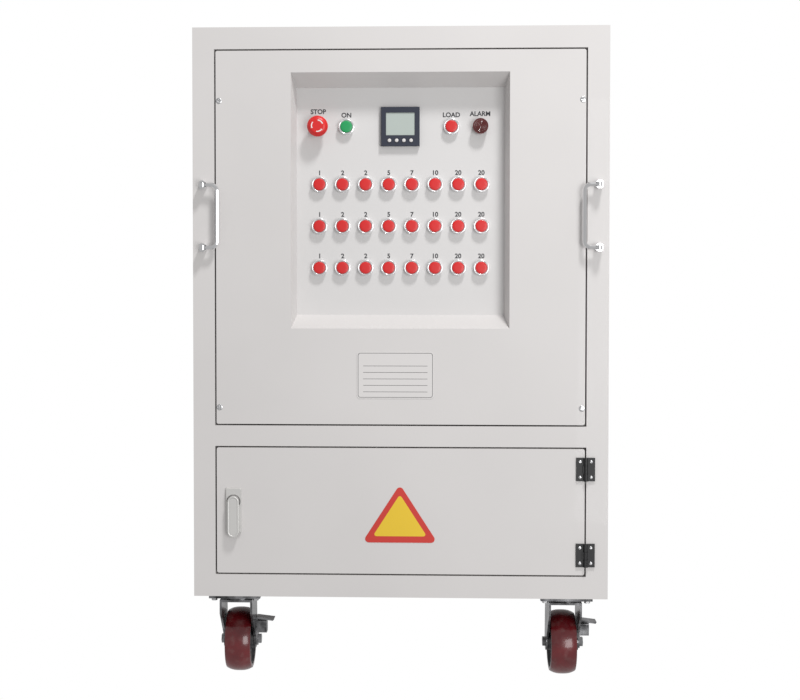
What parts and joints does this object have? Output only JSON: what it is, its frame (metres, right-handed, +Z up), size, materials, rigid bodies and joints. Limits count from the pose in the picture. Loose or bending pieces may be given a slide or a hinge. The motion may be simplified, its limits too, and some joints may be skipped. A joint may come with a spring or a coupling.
{
  "type": "generator load bank",
  "caption": "Wheeled sheet-steel load bank with a recessed push-button panel, a hinged terminal door, folding handles and braked casters.",
  "frame": {"origin": "on the floor at the middle of the overall width and depth", "axes": "+X to the right seen from the front, -Y towards the front, +Z up"},
  "size_m": [0.8, 0.821, 1.272],
  "materials": {
    "cabinet_paint": "satin",
    "plate_paint": "satin",
    "bezel_chrome": "polished",
    "red_cap": "gloss",
    "green_cap": "gloss",
    "stop_red": "gloss",
    "lamp_lens": "gloss",
    "meter_plastic": "gloss",
    "hinge_black": "satin",
    "latch_steel": "satin",
    "handle_chrome": "polished",
    "caster_zinc": "satin",
    "wheel_tread": "satin",
    "element_steel": "satin",
    "fan_steel": "satin",
    "board_resin": "matte",
    "copper": "satin"
  },
  "bodies": {
    "cabinet": {"frame": "cabinet_paint", "side_panels": "cabinet_paint", "rear_panel": "cabinet_paint", "top_cover": "cabinet_paint", "base_plate": "cabinet_paint", "front_panel": "cabinet_paint", "control_plate": "plate_paint", "button_bezels": "bezel_chrome", "alarm_lamp": "lamp_lens", "power_meter": "meter_plastic", "frame_hinge_leaves": "hinge_black", "handle_posts": "handle_chrome", "caster_brackets": "caster_zinc", "resistor_bank": "element_steel", "fan_mount": "fan_steel", "terminal_board": "board_resin", "terminal_bars": "copper"},
    "door": {"terminal_door": "cabinet_paint", "door_hinge_leaves": "hinge_black", "latch_housing": "latch_steel"},
    "latch_spindle": {"latch_spindle": "latch_steel"},
    "latch_lever": {"latch_lever": "latch_steel"},
    "left_handle": {"left_handle": "handle_chrome"},
    "right_handle": {"right_handle": "handle_chrome"},
    "fan_rotor": {"fan_rotor": "fan_steel"},
    "emergency_stop": {"emergency_stop": "stop_red"},
    "start_button": {"start_button": "green_cap"},
    "load_button": {"load_button": "red_cap"},
    "step_button_1_1": {"step_button_1_1": "red_cap"},
    "step_button_1_2": {"step_button_1_2": "red_cap"},
    "step_button_1_3": {"step_button_1_3": "red_cap"},
    "step_button_1_4": {"step_button_1_4": "red_cap"},
    "step_button_1_5": {"step_button_1_5": "red_cap"},
    "step_button_1_6": {"step_button_1_6": "red_cap"},
    "step_button_1_7": {"step_button_1_7": "red_cap"},
    "step_button_1_8": {"step_button_1_8": "red_cap"},
    "step_button_2_1": {"step_button_2_1": "red_cap"},
    "step_button_2_2": {"step_button_2_2": "red_cap"},
    "step_button_2_3": {"step_button_2_3": "red_cap"},
    "step_button_2_4": {"step_button_2_4": "red_cap"},
    "step_button_2_5": {"step_button_2_5": "red_cap"},
    "step_button_2_6": {"step_button_2_6": "red_cap"},
    "step_button_2_7": {"step_button_2_7": "red_cap"},
    "step_button_2_8": {"step_button_2_8": "red_cap"},
    "step_button_3_1": {"step_button_3_1": "red_cap"},
    "step_button_3_2": {"step_button_3_2": "red_cap"},
    "step_button_3_3": {"step_button_3_3": "red_cap"},
    "step_button_3_4": {"step_button_3_4": "red_cap"},
    "step_button_3_5": {"step_button_3_5": "red_cap"},
    "step_button_3_6": {"step_button_3_6": "red_cap"},
    "step_button_3_7": {"step_button_3_7": "red_cap"},
    "step_button_3_8": {"step_button_3_8": "red_cap"},
    "front_left_swivel": {"front_left_fork": "caster_zinc"},
    "front_left_wheel": {"front_left_wheel": "wheel_tread"},
    "front_left_brake": {"front_left_brake": "caster_zinc"},
    "rear_left_wheel": {"rear_left_wheel": "wheel_tread"},
    "front_right_swivel": {"front_right_fork": "caster_zinc"},
    "front_right_wheel": {"front_right_wheel": "wheel_tread"},
    "front_right_brake": {"front_right_brake": "caster_zinc"},
    "rear_right_wheel": {"rear_right_wheel": "wheel_tread"}
  },
  "joints": [
    {"name": "door_swing", "type": "hinge", "parent": "cabinet", "child": "door", "pos_m": [0.3565, -0.3938, 0.34], "axis": [0, 0, 1], "range_deg": [0, 115]},
    {"name": "latch_turn", "type": "hinge", "parent": "door", "child": "latch_spindle", "pos_m": [-0.322, -0.3895, 0.358], "axis": [0, 1, 0], "range_deg": [0, 90]},
    {"name": "latch_lift", "type": "hinge", "parent": "latch_spindle", "child": "latch_lever", "pos_m": [-0.322, -0.3971, 0.358], "axis": [-1, 0, 0], "range_deg": [0, 20]},
    {"name": "left_handle_swing", "type": "hinge", "parent": "cabinet", "child": "left_handle", "pos_m": [-0.379, -0.404, 0.909], "axis": [0, 0, -1], "range_deg": [0, 150]},
    {"name": "right_handle_swing", "type": "hinge", "parent": "cabinet", "child": "right_handle", "pos_m": [0.379, -0.404, 0.909], "axis": [0, 0, 1], "range_deg": [0, 150]},
    {"name": "fan_spin", "type": "hinge", "parent": "cabinet", "child": "fan_rotor", "pos_m": [0, 0.2995, 0.85], "axis": [0, 1, 0], "continuous": true},
    {"name": "emergency_stop_press", "type": "slide", "parent": "cabinet", "child": "emergency_stop", "axis": [0, 1, 0], "range_m": [0, 0.0045], "stiffness_N_per_m": 400, "springref_m": -0.002},
    {"name": "start_button_press", "type": "slide", "parent": "cabinet", "child": "start_button", "axis": [0, 1, 0], "range_m": [0, 0.0035], "stiffness_N_per_m": 300, "springref_m": -0.002},
    {"name": "load_button_press", "type": "slide", "parent": "cabinet", "child": "load_button", "axis": [0, 1, 0], "range_m": [0, 0.0035], "stiffness_N_per_m": 300, "springref_m": -0.002},
    {"name": "step_button_1_1_press", "type": "slide", "parent": "cabinet", "child": "step_button_1_1", "axis": [0, 1, 0], "range_m": [0, 0.0035], "stiffness_N_per_m": 300, "springref_m": -0.002},
    {"name": "step_button_1_2_press", "type": "slide", "parent": "cabinet", "child": "step_button_1_2", "axis": [0, 1, 0], "range_m": [0, 0.0035], "stiffness_N_per_m": 300, "springref_m": -0.002},
    {"name": "step_button_1_3_press", "type": "slide", "parent": "cabinet", "child": "step_button_1_3", "axis": [0, 1, 0], "range_m": [0, 0.0035], "stiffness_N_per_m": 300, "springref_m": -0.002},
    {"name": "step_button_1_4_press", "type": "slide", "parent": "cabinet", "child": "step_button_1_4", "axis": [0, 1, 0], "range_m": [0, 0.0035], "stiffness_N_per_m": 300, "springref_m": -0.002},
    {"name": "step_button_1_5_press", "type": "slide", "parent": "cabinet", "child": "step_button_1_5", "axis": [0, 1, 0], "range_m": [0, 0.0035], "stiffness_N_per_m": 300, "springref_m": -0.002},
    {"name": "step_button_1_6_press", "type": "slide", "parent": "cabinet", "child": "step_button_1_6", "axis": [0, 1, 0], "range_m": [0, 0.0035], "stiffness_N_per_m": 300, "springref_m": -0.002},
    {"name": "step_button_1_7_press", "type": "slide", "parent": "cabinet", "child": "step_button_1_7", "axis": [0, 1, 0], "range_m": [0, 0.0035], "stiffness_N_per_m": 300, "springref_m": -0.002},
    {"name": "step_button_1_8_press", "type": "slide", "parent": "cabinet", "child": "step_button_1_8", "axis": [0, 1, 0], "range_m": [0, 0.0035], "stiffness_N_per_m": 300, "springref_m": -0.002},
    {"name": "step_button_2_1_press", "type": "slide", "parent": "cabinet", "child": "step_button_2_1", "axis": [0, 1, 0], "range_m": [0, 0.0035], "stiffness_N_per_m": 300, "springref_m": -0.002},
    {"name": "step_button_2_2_press", "type": "slide", "parent": "cabinet", "child": "step_button_2_2", "axis": [0, 1, 0], "range_m": [0, 0.0035], "stiffness_N_per_m": 300, "springref_m": -0.002},
    {"name": "step_button_2_3_press", "type": "slide", "parent": "cabinet", "child": "step_button_2_3", "axis": [0, 1, 0], "range_m": [0, 0.0035], "stiffness_N_per_m": 300, "springref_m": -0.002},
    {"name": "step_button_2_4_press", "type": "slide", "parent": "cabinet", "child": "step_button_2_4", "axis": [0, 1, 0], "range_m": [0, 0.0035], "stiffness_N_per_m": 300, "springref_m": -0.002},
    {"name": "step_button_2_5_press", "type": "slide", "parent": "cabinet", "child": "step_button_2_5", "axis": [0, 1, 0], "range_m": [0, 0.0035], "stiffness_N_per_m": 300, "springref_m": -0.002},
    {"name": "step_button_2_6_press", "type": "slide", "parent": "cabinet", "child": "step_button_2_6", "axis": [0, 1, 0], "range_m": [0, 0.0035], "stiffness_N_per_m": 300, "springref_m": -0.002},
    {"name": "step_button_2_7_press", "type": "slide", "parent": "cabinet", "child": "step_button_2_7", "axis": [0, 1, 0], "range_m": [0, 0.0035], "stiffness_N_per_m": 300, "springref_m": -0.002},
    {"name": "step_button_2_8_press", "type": "slide", "parent": "cabinet", "child": "step_button_2_8", "axis": [0, 1, 0], "range_m": [0, 0.0035], "stiffness_N_per_m": 300, "springref_m": -0.002},
    {"name": "step_button_3_1_press", "type": "slide", "parent": "cabinet", "child": "step_button_3_1", "axis": [0, 1, 0], "range_m": [0, 0.0035], "stiffness_N_per_m": 300, "springref_m": -0.002},
    {"name": "step_button_3_2_press", "type": "slide", "parent": "cabinet", "child": "step_button_3_2", "axis": [0, 1, 0], "range_m": [0, 0.0035], "stiffness_N_per_m": 300, "springref_m": -0.002},
    {"name": "step_button_3_3_press", "type": "slide", "parent": "cabinet", "child": "step_button_3_3", "axis": [0, 1, 0], "range_m": [0, 0.0035], "stiffness_N_per_m": 300, "springref_m": -0.002},
    {"name": "step_button_3_4_press", "type": "slide", "parent": "cabinet", "child": "step_button_3_4", "axis": [0, 1, 0], "range_m": [0, 0.0035], "stiffness_N_per_m": 300, "springref_m": -0.002},
    {"name": "step_button_3_5_press", "type": "slide", "parent": "cabinet", "child": "step_button_3_5", "axis": [0, 1, 0], "range_m": [0, 0.0035], "stiffness_N_per_m": 300, "springref_m": -0.002},
    {"name": "step_button_3_6_press", "type": "slide", "parent": "cabinet", "child": "step_button_3_6", "axis": [0, 1, 0], "range_m": [0, 0.0035], "stiffness_N_per_m": 300, "springref_m": -0.002},
    {"name": "step_button_3_7_press", "type": "slide", "parent": "cabinet", "child": "step_button_3_7", "axis": [0, 1, 0], "range_m": [0, 0.0035], "stiffness_N_per_m": 300, "springref_m": -0.002},
    {"name": "step_button_3_8_press", "type": "slide", "parent": "cabinet", "child": "step_button_3_8", "axis": [0, 1, 0], "range_m": [0, 0.0035], "stiffness_N_per_m": 300, "springref_m": -0.002},
    {"name": "front_left_swivel", "type": "hinge", "parent": "cabinet", "child": "front_left_swivel", "pos_m": [-0.322, -0.327, 0.16], "axis": [0, 0, 1], "continuous": true},
    {"name": "front_left_roll", "type": "hinge", "parent": "front_left_swivel", "child": "front_left_wheel", "pos_m": [-0.322, -0.291, 0.0625], "axis": [1, 0, 0], "continuous": true},
    {"name": "front_left_brake_press", "type": "hinge", "parent": "front_left_swivel", "child": "front_left_brake", "pos_m": [-0.322, -0.291, 0.0625], "axis": [1, 0, 0], "range_deg": [0, 20]},
    {"name": "rear_left_roll", "type": "hinge", "parent": "cabinet", "child": "rear_left_wheel", "pos_m": [-0.322, 0.312, 0.0625], "axis": [1, 0, 0], "continuous": true},
    {"name": "front_right_swivel", "type": "hinge", "parent": "cabinet", "child": "front_right_swivel", "pos_m": [0.322, -0.327, 0.16], "axis": [0, 0, 1], "continuous": true},
    {"name": "front_right_roll", "type": "hinge", "parent": "front_right_swivel", "child": "front_right_wheel", "pos_m": [0.322, -0.291, 0.0625], "axis": [1, 0, 0], "continuous": true},
    {"name": "front_right_brake_press", "type": "hinge", "parent": "front_right_swivel", "child": "front_right_brake", "pos_m": [0.322, -0.291, 0.0625], "axis": [1, 0, 0], "range_deg": [0, 20]},
    {"name": "rear_right_roll", "type": "hinge", "parent": "cabinet", "child": "rear_right_wheel", "pos_m": [0.322, 0.312, 0.0625], "axis": [1, 0, 0], "continuous": true}
  ]
}
